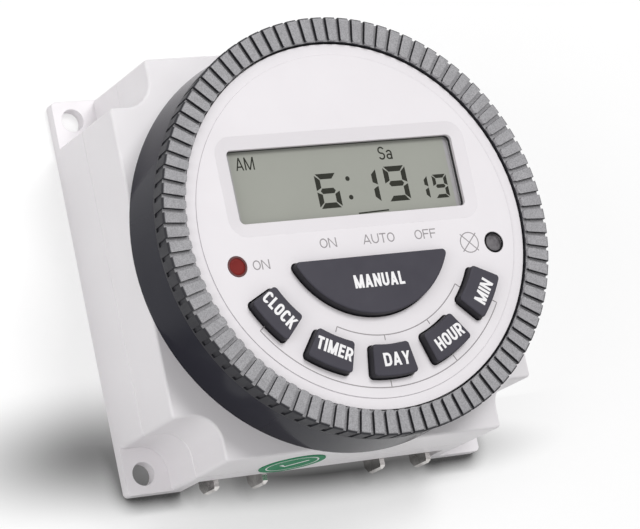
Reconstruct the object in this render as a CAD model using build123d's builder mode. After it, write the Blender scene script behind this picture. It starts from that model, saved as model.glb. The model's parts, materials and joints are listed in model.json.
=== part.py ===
from build123d import *
import os
from math import asin, cos, degrees, radians, sin

# Digital timer switch, 60 x 60 x 32 mm, lying on its back.
# The origin is the centre of the mounting face, +Z points out of the dial,
# +X to its right and +Y to its 12 o'clock. All sizes are in millimetres.

# Case
body_side = 60.0
rear_height = 10.2
front_height = 10.2
wall = 1.8
case_edge_radius = 0.6
shoulder_radius = 0.4
seam_chamfer = 0.2
lip_height = 1.0

# Corner ears and the notches above them
ear_thickness = 1.85
ear_corner_radius = 0.7
notch_side = 7.0
notch_radius = 4.0
ear_hole_inset = 3.0
ear_hole_diameter = 3.5

# Head: drum, knurled ring and dial
ring_overhang = 1.25
ring_height = 3.5
ring_width = 3.7
ring_taper = 0.25
ring_edge_radius = 0.45
ridge_count = 90
ridge_share = 0.7
ridge_corner = 0.4
front_groove_depth = 0.6
side_groove_depth = 0.2
groove_end_rise = 0.4
drum_height = 8.1
drum_step = 0.15
drum_taper = 0.5
drum_wall = 2.1
drum_edge_radius = 0.3
neck_wall = 2.2
face_drop = 1.0
face_thickness = 1.8
face_rim_width = 1.65
raised_face_height = 0.15

# Display
window_height = 10.9
window_y = 6.95
window_corner = 0.8
bevel_width = 2.0
bevel_depth = 0.3
window_skin = 0.55
frame_skin = 0.6
frame_wall = 0.9
glass_side_margin = 1.1
glass_end_margin = 2.05
frame_corner_gap = 0.43
glass_thickness = 2.2
zebra_width = 1.6

# Keys
key_rise = 1.55
key_travel = 0.5
key_rim_margin = 2.8
key_length = 4.7
key_half_angle = 9.25
key_corner = 0.55
key_edge_radius = 0.25
key_names = ("clock", "timer", "day", "hour", "minute")
key_first_angle = 215.8
key_pitch_angle = 27.3
manual_margin = 4.5
manual_x = 0.15
manual_chord_y = -5.05
manual_corner = 0.6
manual_switch_inset = 4.0
flange_width = 0.7
flange_thickness = 0.8
stem_diameter = 3.0

# Reset button and lamp
reset_angle = -11.64
reset_rim_margin = 3.34
reset_diameter = 3.0
reset_drop = 0.5
reset_flange_diameter = 4.4
reset_stem_diameter = 2.0
lamp_angle = 192.37
lamp_rim_margin = 4.41
lamp_diameter = 2.9
lamp_flange_diameter = 3.7
lamp_body_length = 5.2
lamp_dome = 0.5
lead_side = 0.5
lead_pitch = 1.6

# Tactile switches
switch_side = 6.0
reset_switch_side = 4.5
switch_height = 2.6
plunger_diameter = 3.5
plunger_length = 2.0
plunger_rise = 0.8

# Display board
board_thickness = 1.6
display_board_drop = 5.0
ledge_width = 1.2
boss_diameter = 4.0
lower_boss_gap = 0.45
lower_boss_from_lamp = 4.25
upper_boss_gap = 2.25
upper_boss_rim_margin = 2.8
hook_angles = (20.0, 160.0, 230.0, 310.0)
hook_width = 4.0
hook_thickness = 1.0
hook_length = 3.6
hook_barb = 0.8
hook_barb_height = 1.3
chip_side = 10.0
chip_height = 1.3
chip_y = 5.0
crystal_diameter = 2.0
crystal_length = 6.0
crystal_x = 10.0

# Power board and what stands on it
post_height = 1.75
post_diameter = 4.0
post_inset = 2.5
post_y = (-12.0, 13.0)
board_side_margin = 2.7
board_end_margin = 1.1
relay_size = (29.0, 12.7, 15.7)
relay_at = (-4.0, -8.0)
film_capacitor_size = (18.0, 8.0, 14.0)
film_capacitor_x = 12.5
film_capacitor_from_can = -1.5
moulding_radius = 0.6
can_diameter = 8.0
can_height = 12.0
can_x = -2.5
can_margin = 1.85
battery_diameter = 11.5
battery_height = 5.3
battery_at = (-14.5, 7.0)
varistor_diameter = 9.0
varistor_thickness = 4.0
varistor_y = -5.0
varistor_gap = 2.0
resistor_diameter = 3.5
resistor_length = 9.0
resistor_y = -12.0
resistor_gap = 1.0
rectifier_size = (6.4, 5.0, 2.6)
rectifier_x = 12.5
rectifier_inset = 3.2
header_pins = 6
header_pitch = 2.54
header_height = 2.5
header_inset = 2.2
pin_side = 0.64

# Terminals
bay_end_wall = 2.25
bay_depth = 6.0
bay_height = 6.6
bay_wall = 1.6
tab_width = 4.8
tab_thickness = 0.8
tab_from_back = 1.6
tab_reach = 1.5
tab_lower_corner = 1.2
tab_upper_corner = 0.5
tab_tip_bevel = 0.3
tab_hole_diameter = 1.4
tab_hole_from_tip = 3.2
terminal_margin = 2.75
terminal_pitch = 8.0
riser_width = 1.0
foot_length = 2.6
foot_height = 3.2

# Fasteners
case_screw_inset = 1.7
case_boss_diameter = 4.8
case_screw_diameter = 2.0
case_screw_length = 16.5
case_head_diameter = 3.8
case_head_height = 1.1
small_screw_diameter = 1.5
small_screw_length = 5.0
small_head_diameter = 3.2
small_head_height = 1.3
board_screw_length = 3.0
screw_slot_width = 0.5
screw_slot_depth = 0.5

# Sticker over the seam
sticker_diameter = 10.0
sticker_thickness = 0.12
sticker_x = -8.3
sticker_z = 12.3

# Clearances
case_gap = 0.05
seat_gap = 0.1
face_gap = 0.25
key_gap = 0.2
flange_gap = 0.1
screw_gap = 0.05
plunger_gap = 0.1
part_gap = 0.2

# Levels up the stack, from the mounting face
seam_z = rear_height
shoulder_z = rear_height + front_height
ceiling_z = shoulder_z - wall
drum_top_z = shoulder_z + drum_height
ring_top_z = drum_top_z + ring_height
groove_floor_z = ring_top_z - front_groove_depth
face_z = ring_top_z - face_drop
raised_z = face_z + raised_face_height
seat_z = face_z - face_thickness
key_top_z = raised_z + key_rise
flange_top_z = seat_z - flange_gap
flange_bottom_z = flange_top_z - flange_thickness
display_board_top_z = seat_z - display_board_drop
display_board_z = display_board_top_z - board_thickness
frame_top_z = raised_z - bevel_depth - window_skin
glass_top_z = frame_top_z - frame_skin
glass_z = glass_top_z - glass_thickness
power_board_z = ear_thickness + post_height
power_board_top_z = power_board_z + board_thickness
tab_z = tab_from_back
tab_top_z = tab_from_back + tab_width
riser_z = ear_thickness + seat_gap

# Radii of the head
half_side = body_side / 2
ring_radius = half_side + ring_overhang
ring_bore_radius = ring_radius - ring_width
groove_floor_radius = ring_radius - side_groove_depth
drum_base_radius = ring_radius - drum_step
drum_top_radius = drum_base_radius - drum_taper
drum_bore_radius = drum_top_radius - drum_wall
neck_radius = drum_bore_radius - seat_gap
neck_bore_radius = neck_radius - neck_wall
face_radius = ring_bore_radius - face_gap
raised_face_radius = face_radius - face_rim_width
display_board_radius = neck_bore_radius - 2 * part_gap
key_outer_radius = raised_face_radius - key_rim_margin
key_inner_radius = key_outer_radius - key_length
key_mid_radius = (key_inner_radius + key_outer_radius) / 2
manual_radius = key_inner_radius - manual_margin
manual_switch_y = manual_switch_inset - manual_radius
key_angles = [key_first_angle + key_pitch_angle * i for i in range(len(key_names))]

# Display frame, whose corners lie inside the neck
frame_height = window_height + 2 * (glass_end_margin + frame_wall)
frame_top_y = window_y + frame_height / 2
frame_corner_x = ((neck_bore_radius - frame_corner_gap) ** 2 - frame_top_y**2) ** 0.5
frame_width = 2 * frame_corner_x
window_width = frame_width - 2 * (glass_side_margin + frame_wall)

# Places in the case
ear_hole_spacing = body_side - 2 * ear_hole_inset
case_screw_at = half_side - notch_side - case_screw_inset
bay_width = body_side - 2 * (notch_side + bay_end_wall)
bay_back_y = -half_side + bay_depth
bay_inner_y = bay_back_y + bay_wall
outer_terminal_x = bay_width / 2 - terminal_margin
inner_terminal_x = outer_terminal_x - terminal_pitch
terminal_x = (-outer_terminal_x, -inner_terminal_x, inner_terminal_x, outer_terminal_x)

# Places on the power board
power_board_length = 2 * (half_side - wall - board_side_margin)
power_board_end_y = case_screw_at - case_boss_diameter / 2 - board_end_margin
post_x = power_board_length / 2 - post_inset
header_y = power_board_end_y - header_inset
can_at = (can_x, header_y - header_height / 2 - can_margin - can_diameter / 2)
film_capacitor_at = (film_capacitor_x, can_at[1] + film_capacitor_from_can)
rectifier_at = (rectifier_x, power_board_end_y - rectifier_inset)
relay_end_x = relay_at[0] + relay_size[0] / 2
varistor_at = (relay_end_x + varistor_gap + varistor_diameter / 2, varistor_y)
resistor_at = (relay_end_x + resistor_gap + resistor_length / 2, resistor_y)
riser_y = bay_inner_y + seat_gap
tongue_end_y = riser_y + riser_width + part_gap
tongue_width = 2 * (case_screw_at - case_boss_diameter / 2 - part_gap)


def body_outline(inset):
    """The square case seen from the front, with its notched corners, drawn in by inset."""
    void_half = notch_side + notch_radius
    void_centre = half_side - notch_side - inset + void_half
    side = body_side - 2 * inset
    with BuildSketch() as outline:
        Rectangle(side, side)
        with GridLocations(2 * void_centre, 2 * void_centre, 2, 2):
            RectangleRounded(2 * void_half, 2 * void_half, notch_radius + inset, mode=Mode.SUBTRACT)
        on_side = [v for v in outline.vertices() if max(abs(v.X), abs(v.Y)) > side / 2 - seat_gap]
        fillet(on_side, case_edge_radius)
    return outline.sketch


def sector_outline(angle, grow):
    """One arc key seen from the front, at its angle round the dial, grown all round."""
    half = key_half_angle + degrees(grow / key_mid_radius)
    with BuildSketch() as outline:
        with BuildLine():
            outer = CenterArc((0, 0), key_outer_radius + grow, angle - half, 2 * half)
            inner = CenterArc((0, 0), key_inner_radius - grow, angle - half, 2 * half)
            Line(outer @ 0, inner @ 0)
            Line(outer @ 1, inner @ 1)
        make_face()
        fillet(outline.vertices(), key_corner + grow)
    return outline.sketch


def segment_outline(grow):
    """The manual key seen from the front: a circle cut off by a chord, grown all round."""
    radius = manual_radius + grow
    chord = manual_chord_y + grow
    start = degrees(asin(chord / radius))
    with BuildSketch() as outline:
        with BuildLine():
            arc = CenterArc((manual_x, 0), radius, 180 - start, 180 + 2 * start)
            Line(arc @ 0, arc @ 1)
        make_face()
        fillet(outline.vertices(), manual_corner + grow)
    return outline.sketch


def radial_plane(angle):
    """A plane that holds the dial's axis, with X outwards at the angle and Y up the axis."""
    turn = radians(angle)
    return Plane(origin=(0, 0, 0), x_dir=(cos(turn), sin(turn), 0), z_dir=(sin(turn), -cos(turn), 0))


def polar_point(radius, angle):
    """A point of the dial, from its radius and angle."""
    return (radius * cos(radians(angle)), radius * sin(radians(angle)))


def screw(diameter, length, head_diameter, head_base_diameter, head_height):
    """A screw with a crossed slot, along +Z, with its head's outer face at the origin."""
    with BuildPart() as body:
        with BuildSketch(Plane.XZ):
            with BuildLine():
                Polyline(
                    (0, 0),
                    (head_diameter / 2, 0),
                    (head_base_diameter / 2, head_height),
                    (0, head_height),
                    close=True,
                )
            make_face()
            with BuildLine():
                Polyline(
                    (0, head_height),
                    (diameter / 2, head_height),
                    (diameter / 2, head_height + length - diameter / 2),
                    (0, head_height + length),
                    close=True,
                )
            make_face()
        revolve(axis=Axis.Z)
        with BuildSketch():
            Rectangle(head_diameter, screw_slot_width)
            Rectangle(screw_slot_width, head_diameter)
            Circle(head_diameter / 3, mode=Mode.INTERSECT)
        extrude(amount=screw_slot_depth, mode=Mode.SUBTRACT)
    return body.part


lamp_x, lamp_y = polar_point(raised_face_radius - lamp_rim_margin, lamp_angle)
reset_x, reset_y = polar_point(raised_face_radius - reset_rim_margin, reset_angle)
lower_boss_x = abs(lamp_x) - lower_boss_from_lamp
lower_boss_y = window_y - frame_height / 2 - lower_boss_gap - boss_diameter / 2
upper_boss_y = frame_top_y + upper_boss_gap + boss_diameter / 2
upper_boss_x = ((display_board_radius - upper_boss_rim_margin) ** 2 - upper_boss_y**2) ** 0.5
display_boss_corners = ((lower_boss_x, lower_boss_y), (upper_boss_x, upper_boss_y))
display_boss_points = [(side * x, y) for x, y in display_boss_corners for side in (-1, 1)]

case_outline = body_outline(0)
cavity_outline = body_outline(wall)
lip_outline = body_outline(wall / 2 + case_gap)
rabbet_outline = body_outline(wall / 2 - case_gap)
lip_inner_outline = body_outline(wall + case_gap)
post_points = [(side * post_x, y) for y in post_y for side in (-1, 1)]
board_screw_points = [(side * post_x, post_y[1]) for side in (-1, 1)]
switch_points = [polar_point(key_mid_radius, angle) for angle in key_angles]

os.makedirs("parts", exist_ok=True)

# Rear housing: back wall with ears, side walls, terminal bay, screw bosses and board posts
bay_block_depth = bay_depth + bay_wall - wall / 2
with BuildPart() as rear_housing:
    with BuildSketch():
        add(case_outline)
    extrude(amount=seam_z)
    chamfer(rear_housing.faces().sort_by(Axis.Z)[-1].edges(), seam_chamfer)
    with BuildSketch():
        RectangleRounded(body_side, body_side, ear_corner_radius)
    extrude(amount=ear_thickness)
    with BuildSketch(Plane.XY.offset(ear_thickness)):
        add(cavity_outline)
    extrude(amount=seam_z, mode=Mode.SUBTRACT)
    with BuildSketch(Plane.XY.offset(seam_z - wall)):
        add(lip_outline)
        add(cavity_outline, mode=Mode.SUBTRACT)
    extrude(amount=wall + lip_height)
    with BuildSketch(Plane.XY.offset(ear_thickness)):
        with GridLocations(2 * case_screw_at, 2 * case_screw_at, 2, 2):
            Circle(case_boss_diameter / 2)
    extrude(amount=seam_z - ear_thickness)
    with BuildSketch(Plane.XY.offset(ear_thickness)):
        with Locations(*post_points):
            Circle(post_diameter / 2)
    extrude(amount=post_height)
    with BuildSketch():
        with Locations((0, bay_inner_y - bay_block_depth / 2)):
            Rectangle(bay_width + 2 * bay_wall, bay_block_depth)
    extrude(amount=bay_height + bay_wall)
    with BuildSketch():
        with Locations((0, bay_back_y - bay_depth)):
            Rectangle(bay_width, 2 * bay_depth)
    extrude(amount=bay_height, mode=Mode.SUBTRACT)
    with BuildSketch(Plane.XY.offset(riser_z - seat_gap)):
        with Locations(*[(x, bay_back_y + bay_wall / 2) for x in terminal_x]):
            Rectangle(tab_thickness + 2 * seat_gap, bay_wall + 2 * seat_gap)
    extrude(amount=tab_top_z - riser_z + 2 * seat_gap, mode=Mode.SUBTRACT)
    with BuildSketch():
        with GridLocations(ear_hole_spacing, ear_hole_spacing, 2, 2):
            Circle(ear_hole_diameter / 2)
        with GridLocations(2 * case_screw_at, 2 * case_screw_at, 2, 2):
            Circle(case_screw_diameter / 2 + screw_gap)
    extrude(amount=seam_z, mode=Mode.SUBTRACT)
    with GridLocations(2 * case_screw_at, 2 * case_screw_at, 2, 2):
        Cone(
            case_head_diameter / 2 + screw_gap,
            case_screw_diameter / 2 + screw_gap,
            case_head_height,
            align=(Align.CENTER, Align.CENTER, Align.MIN),
            mode=Mode.SUBTRACT,
        )
    with BuildSketch(Plane.XY.offset(power_board_z)):
        with Locations(*board_screw_points):
            Circle(small_screw_diameter / 2 + screw_gap)
    extrude(amount=-post_height, mode=Mode.SUBTRACT)
rear_housing.part.label = "rear_housing"
export_step(rear_housing.part, "parts/rear_housing.step")

# Front housing: side walls, shoulder, screw bosses and the neck that carries the head
with BuildPart() as front_housing:
    with BuildSketch(Plane.XY.offset(seam_z)):
        add(case_outline)
    extrude(amount=front_height)
    fillet(front_housing.faces().sort_by(Axis.Z)[-1].edges(), shoulder_radius)
    chamfer(front_housing.faces().sort_by(Axis.Z)[0].edges(), seam_chamfer)
    with BuildSketch(Plane.XY.offset(seam_z)):
        add(cavity_outline)
    extrude(amount=ceiling_z - seam_z, mode=Mode.SUBTRACT)
    with BuildSketch(Plane.XY.offset(seam_z)):
        with GridLocations(2 * case_screw_at, 2 * case_screw_at, 2, 2):
            Circle(case_boss_diameter / 2)
    extrude(amount=ceiling_z - seam_z)
    with BuildSketch(Plane.XY.offset(seam_z)):
        add(rabbet_outline)
        add(lip_inner_outline, mode=Mode.SUBTRACT)
    extrude(amount=lip_height + seat_gap, mode=Mode.SUBTRACT)
    with BuildSketch(Plane.XY.offset(seam_z)):
        with GridLocations(2 * case_screw_at, 2 * case_screw_at, 2, 2):
            Circle(case_screw_diameter / 2 + screw_gap)
    extrude(amount=ceiling_z - seam_z, mode=Mode.SUBTRACT)
    with BuildSketch(Plane.XY.offset(ceiling_z)):
        Circle(neck_radius)
    extrude(amount=seat_z - ceiling_z)
    with BuildSketch(Plane.XY.offset(ceiling_z)):
        Circle(neck_bore_radius - ledge_width)
    extrude(amount=seat_z - ceiling_z, mode=Mode.SUBTRACT)
    with BuildSketch(Plane.XY.offset(display_board_z)):
        Circle(neck_bore_radius)
    extrude(amount=seat_z - display_board_z, mode=Mode.SUBTRACT)
    hook_pocket_z = seat_z - hook_length - seat_gap
    hook_pocket_depth = hook_barb + part_gap
    for angle in hook_angles:
        with BuildSketch(radial_plane(angle)):
            with Locations((neck_bore_radius + hook_pocket_depth / 2, hook_pocket_z)):
                Rectangle(
                    2 * hook_pocket_depth,
                    hook_barb_height + 2 * seat_gap,
                    align=(Align.CENTER, Align.MIN),
                )
            with Locations((neck_bore_radius + hook_pocket_depth, hook_pocket_z)):
                Rectangle(
                    hook_pocket_depth,
                    hook_barb_height + 2 * seat_gap,
                    align=(Align.MIN, Align.MIN),
                    mode=Mode.SUBTRACT,
                )
        extrude(amount=hook_width / 2 + part_gap, both=True, mode=Mode.SUBTRACT)
front_housing.part.label = "front_housing"
export_step(front_housing.part, "parts/front_housing.step")

# Drum: tapered skirt round the neck, from the case's shoulder to the ring
with BuildPart() as drum:
    with BuildSketch(Plane.XZ):
        with BuildLine():
            Polyline(
                (drum_bore_radius, shoulder_z),
                (drum_base_radius, shoulder_z),
                (drum_top_radius, drum_top_z),
                (drum_bore_radius, drum_top_z),
                close=True,
            )
        make_face()
    revolve(axis=Axis.Z)
    top_rim = drum.faces().sort_by(Axis.Z)[-1].edges().sort_by(SortBy.RADIUS)[-1]
    fillet(top_rim, drum_edge_radius)
drum.part.label = "drum"
export_step(drum.part, "parts/drum.step")

# One groove of the ring: it turns down over the outer side and flares out at the bore
groove_angle = 360 / ridge_count * (1 - ridge_share)
flare_half_width = ring_bore_radius * radians(groove_angle) / 2 + ridge_corner
with BuildPart() as groove:
    with BuildSketch(radial_plane(-groove_angle / 2)):
        with BuildLine():
            Polyline(
                (ring_bore_radius - seat_gap, ring_top_z + seat_gap),
                (ring_bore_radius - seat_gap, groove_floor_z),
                (groove_floor_radius, groove_floor_z),
                (groove_floor_radius - ring_taper, drum_top_z + groove_end_rise),
                (ring_radius + seat_gap, drum_top_z + groove_end_rise),
                (ring_radius + seat_gap, ring_top_z + seat_gap),
                close=True,
            )
        make_face()
    revolve(axis=Axis.Z, revolution_arc=groove_angle)
    with BuildSketch(Plane.XY.offset(groove_floor_z)):
        with Locations((ring_bore_radius, 0)):
            Rectangle(2 * ridge_corner, 2 * flare_half_width)
        with Locations((ring_bore_radius + ridge_corner, 0)):
            with GridLocations(0, 2 * flare_half_width, 1, 2):
                Circle(ridge_corner, mode=Mode.SUBTRACT)
    extrude(amount=front_groove_depth + seat_gap)

# Knurled ring: radial ridges with rounded inner ends that turn down over the outer side
with BuildPart() as knurled_ring:
    with BuildSketch(Plane.XZ) as ring_profile:
        with BuildLine():
            Polyline(
                (drum_bore_radius, drum_top_z),
                (ring_radius - ring_taper, drum_top_z),
                (ring_radius, ring_top_z),
                (ring_bore_radius, ring_top_z),
                (ring_bore_radius, seat_z),
                (drum_bore_radius, seat_z),
                close=True,
            )
        make_face()
        fillet(ring_profile.vertices().sort_by(Axis.X)[-1], ring_edge_radius)
    revolve(axis=Axis.Z)
    with PolarLocations(0, ridge_count):
        add(groove.part, mode=Mode.SUBTRACT)
knurled_ring.part.label = "knurled_ring"
export_step(knurled_ring.part, "parts/knurled_ring.step")

# Dial plate: raised centre, bevelled display window, key openings, bosses and snap hooks
with BuildPart() as face_plate:
    with BuildSketch(Plane.XY.offset(seat_z)):
        Circle(face_radius)
    extrude(amount=face_thickness)
    with BuildSketch(Plane.XY.offset(face_z)):
        Circle(raised_face_radius)
    extrude(amount=raised_face_height)
    with BuildSketch(Plane.XY.offset(raised_z)):
        with Locations((0, window_y)):
            RectangleRounded(
                window_width + 2 * bevel_width,
                window_height + 2 * bevel_width,
                window_corner + bevel_width,
            )
    with BuildSketch(Plane.XY.offset(raised_z - bevel_depth)):
        with Locations((0, window_y)):
            RectangleRounded(window_width, window_height, window_corner)
    loft(mode=Mode.SUBTRACT)
    with BuildSketch(Plane.XY.offset(seat_z)):
        with Locations((0, window_y)):
            RectangleRounded(window_width, window_height, window_corner)
        with Locations((lamp_x, lamp_y)):
            Circle(lamp_diameter / 2 + part_gap / 2)
        with Locations((reset_x, reset_y)):
            Circle(reset_diameter / 2 + part_gap / 2)
        add(segment_outline(key_gap))
        for angle in key_angles:
            add(sector_outline(angle, key_gap))
    extrude(amount=raised_z - seat_z, mode=Mode.SUBTRACT)
    with BuildSketch(Plane.XY.offset(seat_z)):
        with Locations((0, window_y)):
            Rectangle(frame_width + part_gap, frame_height + part_gap)
    extrude(amount=frame_top_z - seat_z, mode=Mode.SUBTRACT)
    with BuildSketch(Plane.XY.offset(seat_z)):
        with Locations(*display_boss_points):
            Circle(boss_diameter / 2)
    extrude(amount=-display_board_drop)
    with BuildSketch(Plane.XY.offset(display_board_top_z)):
        with Locations(*display_boss_points):
            Circle(small_screw_diameter / 2 + screw_gap)
    extrude(amount=display_board_drop, mode=Mode.SUBTRACT)
    for angle in hook_angles:
        hook_face = neck_bore_radius - part_gap
        with BuildSketch(radial_plane(angle)):
            with BuildLine():
                Polyline(
                    (hook_face - hook_thickness, seat_z),
                    (hook_face, seat_z),
                    (hook_face, seat_z - hook_length + hook_barb_height),
                    (hook_face + hook_barb, seat_z - hook_length + hook_barb_height),
                    (hook_face, seat_z - hook_length),
                    (hook_face - hook_thickness, seat_z - hook_length),
                    close=True,
                )
            make_face()
        extrude(amount=hook_width / 2, both=True)
face_plate.part.label = "face_plate"
export_step(face_plate.part, "parts/face_plate.step")

# Display: dark frame with a top rim, the glass under it and two contact strips under the glass
with BuildPart() as lcd_frame:
    with BuildSketch(Plane.XY.offset(display_board_top_z)):
        with Locations((0, window_y)):
            Rectangle(frame_width, frame_height)
            Rectangle(frame_width - 2 * frame_wall, frame_height - 2 * frame_wall, mode=Mode.SUBTRACT)
    extrude(amount=frame_top_z - display_board_top_z)
    with BuildSketch(Plane.XY.offset(glass_top_z)):
        with Locations((0, window_y)):
            Rectangle(frame_width, frame_height)
            RectangleRounded(window_width, window_height, window_corner, mode=Mode.SUBTRACT)
    extrude(amount=frame_skin)
lcd_frame.part.label = "lcd_frame"
export_step(lcd_frame.part, "parts/lcd_frame.step")

glass_width = frame_width - 2 * frame_wall - part_gap
glass_height = frame_height - 2 * frame_wall - part_gap
with BuildPart() as lcd_panel:
    with BuildSketch(Plane.XY.offset(glass_z)):
        with Locations((0, window_y)):
            Rectangle(glass_width, glass_height)
    extrude(amount=glass_thickness)
lcd_panel.part.label = "lcd_panel"
export_step(lcd_panel.part, "parts/lcd_panel.step")

with BuildPart() as zebra_strips:
    with BuildSketch(Plane.XY.offset(display_board_top_z)):
        with Locations((0, window_y)):
            with GridLocations(0, glass_height - zebra_width, 1, 2):
                Rectangle(glass_width, zebra_width)
    extrude(amount=glass_z - display_board_top_z)
zebra_strips.part.label = "zebra_strips"
export_step(zebra_strips.part, "parts/zebra_strips.step")

# Display board with its clock chip, crystal and lamp
with BuildPart() as display_board:
    with BuildSketch(Plane.XY.offset(display_board_z)):
        Circle(display_board_radius)
        with Locations(*display_boss_points):
            Circle(small_screw_diameter / 2 + screw_gap, mode=Mode.SUBTRACT)
    extrude(amount=board_thickness)
display_board.part.label = "display_board"
export_step(display_board.part, "parts/display_board.step")

with BuildPart() as controller_chip:
    with BuildSketch(Plane.XY.offset(display_board_z)):
        with Locations((0, chip_y)):
            Rectangle(chip_side, chip_side)
    extrude(amount=-chip_height)
controller_chip.part.label = "controller_chip"
export_step(controller_chip.part, "parts/controller_chip.step")

crystal_start = Plane(
    origin=(crystal_x, chip_y - crystal_length / 2, display_board_z - crystal_diameter / 2),
    z_dir=(0, 1, 0),
)
with BuildPart() as clock_crystal:
    with BuildSketch(crystal_start):
        Circle(crystal_diameter / 2)
    extrude(amount=crystal_length)
    fillet(clock_crystal.edges(), crystal_diameter / 8)
clock_crystal.part.label = "clock_crystal"
export_step(clock_crystal.part, "parts/clock_crystal.step")

lamp_top_z = raised_z
lamp_base_z = lamp_top_z - lamp_body_length
with BuildPart() as status_led:
    with BuildSketch(Plane.XY.offset(lamp_base_z)):
        with Locations((lamp_x, lamp_y)):
            Circle(lamp_diameter / 2)
    extrude(amount=lamp_body_length)
    fillet(status_led.edges().sort_by(Axis.Z)[-1], lamp_dome)
    with BuildSketch(Plane.XY.offset(lamp_base_z)):
        with Locations((lamp_x, lamp_y)):
            Circle(lamp_flange_diameter / 2)
    extrude(amount=flange_thickness)
    with BuildSketch(Plane.XY.offset(display_board_top_z)):
        with Locations((lamp_x, lamp_y)):
            with GridLocations(lead_pitch, 0, 2, 1):
                Rectangle(lead_side, lead_side)
    extrude(amount=lamp_base_z - display_board_top_z)
status_led.part.label = "status_led"
export_step(status_led.part, "parts/status_led.step")

# Tactile switches under the keys, each with a hole for its plunger
switch_top_z = display_board_top_z + switch_height
plunger_top_z = switch_top_z + plunger_rise
plunger_bottom_z = plunger_top_z - plunger_length
switch_pit_z = plunger_bottom_z - key_travel - part_gap
with BuildPart() as key_switches:
    with BuildSketch(Plane.XY.offset(display_board_top_z)):
        arc_span = key_pitch_angle * len(key_names)
        with PolarLocations(key_mid_radius, len(key_names), key_first_angle, arc_span):
            Rectangle(switch_side, switch_side)
        with Locations((manual_x, manual_switch_y)):
            Rectangle(switch_side, switch_side)
        with Locations((reset_x, reset_y)):
            Rectangle(reset_switch_side, reset_switch_side)
    extrude(amount=switch_height)
    with BuildSketch(Plane.XY.offset(switch_pit_z)):
        with Locations(*switch_points, (manual_x, manual_switch_y), (reset_x, reset_y)):
            Circle(plunger_diameter / 2 + plunger_gap)
    extrude(amount=switch_height, mode=Mode.SUBTRACT)
key_switches.part.label = "key_switches"
export_step(key_switches.part, "parts/key_switches.step")


def make_plunger(name, x, y):
    """The moving pin of one tactile switch."""
    with BuildPart() as plunger:
        with BuildSketch(Plane.XY.offset(plunger_bottom_z)):
            with Locations((x, y)):
                Circle(plunger_diameter / 2)
        extrude(amount=plunger_length)
    plunger.part.label = f"{name}_plunger"
    export_step(plunger.part, f"parts/{name}_plunger.step")


def make_key(name, outline, flange, x, y):
    """One key: a cap with rounded top edges, a flange that keeps it in and a stem under it."""
    with BuildPart() as key:
        with BuildSketch(Plane.XY.offset(flange_bottom_z)):
            add(outline)
        extrude(amount=key_top_z - flange_bottom_z)
        fillet(key.faces().sort_by(Axis.Z)[-1].edges(), key_edge_radius)
        with BuildSketch(Plane.XY.offset(flange_bottom_z)):
            add(flange)
        extrude(amount=flange_thickness)
        with BuildSketch(Plane.XY.offset(flange_bottom_z)):
            with Locations((x, y)):
                Circle(stem_diameter / 2)
        extrude(amount=plunger_top_z - flange_bottom_z)
    key.part.label = f"{name}_button"
    export_step(key.part, f"parts/{name}_button.step")


make_key("manual", segment_outline(0), segment_outline(flange_width), manual_x, manual_switch_y)
make_plunger("manual", manual_x, manual_switch_y)
for key_name, key_angle, (key_x, key_y) in zip(key_names, key_angles, switch_points):
    make_key(key_name, sector_outline(key_angle, 0), sector_outline(key_angle, flange_width), key_x, key_y)
    make_plunger(key_name, key_x, key_y)

# Reset button: a small round button below the dial's surface
with BuildPart() as reset_button:
    with BuildSketch(Plane.XY.offset(flange_bottom_z)):
        with Locations((reset_x, reset_y)):
            Circle(reset_diameter / 2)
    extrude(amount=raised_z - reset_drop - flange_bottom_z)
    with BuildSketch(Plane.XY.offset(flange_bottom_z)):
        with Locations((reset_x, reset_y)):
            Circle(reset_flange_diameter / 2)
    extrude(amount=flange_thickness)
    with BuildSketch(Plane.XY.offset(plunger_top_z)):
        with Locations((reset_x, reset_y)):
            Circle(reset_stem_diameter / 2)
    extrude(amount=flange_bottom_z - plunger_top_z)
reset_button.part.label = "reset_button"
export_step(reset_button.part, "parts/reset_button.step")
make_plunger("reset", reset_x, reset_y)

# Power board and the parts that stand on it
with BuildPart() as power_board:
    with BuildSketch(Plane.XY.offset(power_board_z)):
        Rectangle(power_board_length, 2 * power_board_end_y)
        with Locations((0, tongue_end_y)):
            Rectangle(tongue_width, -tongue_end_y, align=(Align.CENTER, Align.MIN))
        with Locations(*board_screw_points):
            Circle(small_screw_diameter / 2 + screw_gap, mode=Mode.SUBTRACT)
    extrude(amount=board_thickness)
power_board.part.label = "power_board"
export_step(power_board.part, "parts/power_board.step")


def make_block(name, size, at):
    """A moulded component with rounded upper edges, standing on the power board."""
    with BuildPart() as block:
        with BuildSketch(Plane.XY.offset(power_board_top_z)):
            with Locations(at):
                Rectangle(size[0], size[1])
        extrude(amount=size[2])
        fillet(block.edges().filter_by(Axis.Z), moulding_radius)
        fillet(block.faces().sort_by(Axis.Z)[-1].edges(), moulding_radius / 2)
    block.part.label = name
    export_step(block.part, f"parts/{name}.step")


def make_can(name, diameter, height, at):
    """A round component standing on the power board."""
    with BuildPart() as can:
        with BuildSketch(Plane.XY.offset(power_board_top_z)):
            with Locations(at):
                Circle(diameter / 2)
        extrude(amount=height)
        fillet(can.edges(), moulding_radius)
    can.part.label = name
    export_step(can.part, f"parts/{name}.step")


make_block("relay", relay_size, relay_at)
make_block("film_capacitor", film_capacitor_size, film_capacitor_at)
make_block("rectifier", rectifier_size, rectifier_at)
make_can("smoothing_capacitor", can_diameter, can_height, can_at)
make_can("backup_battery", battery_diameter, battery_height, battery_at)

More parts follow.
